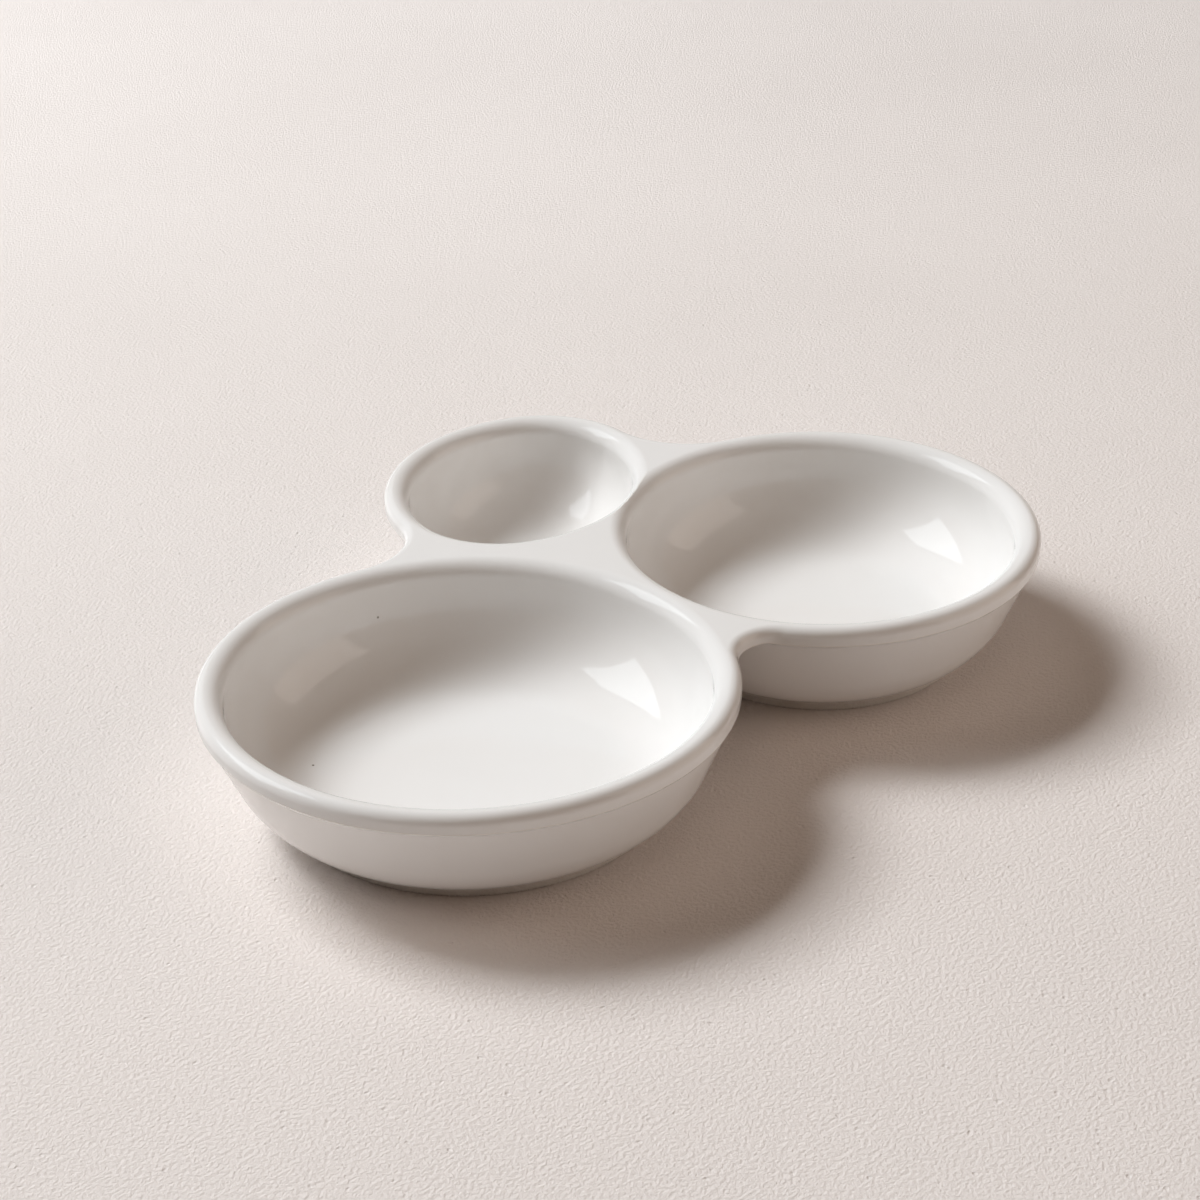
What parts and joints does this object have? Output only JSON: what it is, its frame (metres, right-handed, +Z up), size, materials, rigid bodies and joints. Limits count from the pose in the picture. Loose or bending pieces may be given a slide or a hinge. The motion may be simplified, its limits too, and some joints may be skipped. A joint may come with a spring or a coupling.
{
  "type": "divided serving bowl",
  "caption": "Glazed ceramic serving dish: a large, a medium and a small oval well share one flat rolled rim, and each bowl stands on its own foot ring.",
  "frame": {"origin": "middle of the outline, on the surface that the foot rings stand on", "axes": "+Z up; +X from the large bowl towards the medium bowl, along the dish's greatest length; +Y towards the small bowl"},
  "size_m": [0.2896, 0.2152, 0.042],
  "materials": {
    "glaze": "glossy warm white glaze, a little wavy, with rare dark specks",
    "bare_foot": "fired clay wiped clean of glaze, matt"
  },
  "bodies": {
    "root": {"joined_rim": "glaze", "large_bowl": "glaze", "medium_bowl": "glaze", "small_bowl": "glaze", "large_foot_ring": "bare_foot", "medium_foot_ring": "bare_foot", "small_foot_ring": "bare_foot"}
  },
  "joints": []
}
